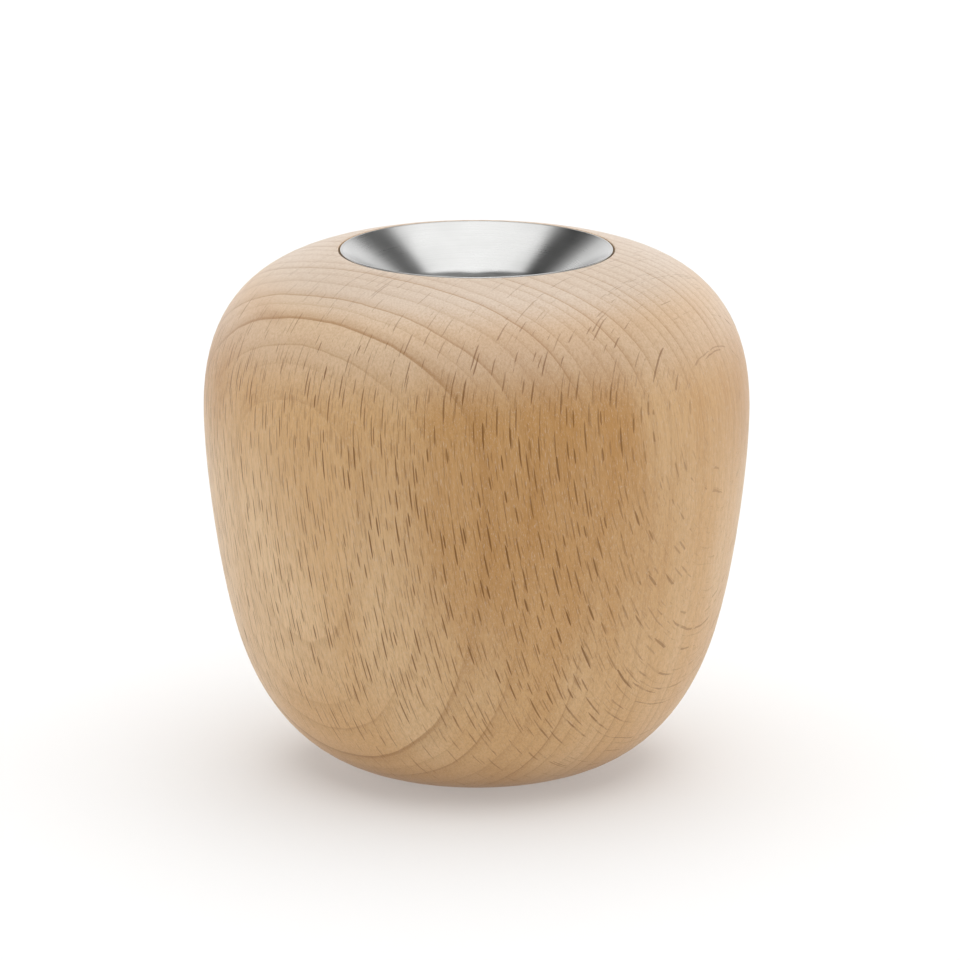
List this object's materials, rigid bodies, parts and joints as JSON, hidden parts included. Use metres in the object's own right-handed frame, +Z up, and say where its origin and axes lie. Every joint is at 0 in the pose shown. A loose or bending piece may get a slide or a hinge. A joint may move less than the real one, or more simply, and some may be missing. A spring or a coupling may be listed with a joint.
{
  "type": "candlestick",
  "caption": "Rounded, turned beech candlestick whose steel insert lifts out: a conical drip dish over a cup for a dinner candle, on a felt disc.",
  "frame": {"origin": "centre of the felt disc's underside, on the table", "axes": "+Z up along the turning axis and the candle; X and Y are equivalent"},
  "size_m": [0.08, 0.08, 0.0774],
  "materials": {
    "beech": "satin",
    "brushed_dish": "brushed round the axis",
    "drawn_cup": "drawn, satin",
    "silicone": "matte",
    "felt": "matte"
  },
  "bodies": {
    "holder": {"wood_body": "beech", "base_felt": "felt"},
    "insert": {"drip_dish": "brushed_dish", "candle_cup": "drawn_cup", "grip_ring": "silicone"}
  },
  "joints": [
    {"name": "insert_lift", "type": "slide", "parent": "holder", "child": "insert", "axis": [0, 0, 1], "range_m": [0, 0.035]}
  ]
}
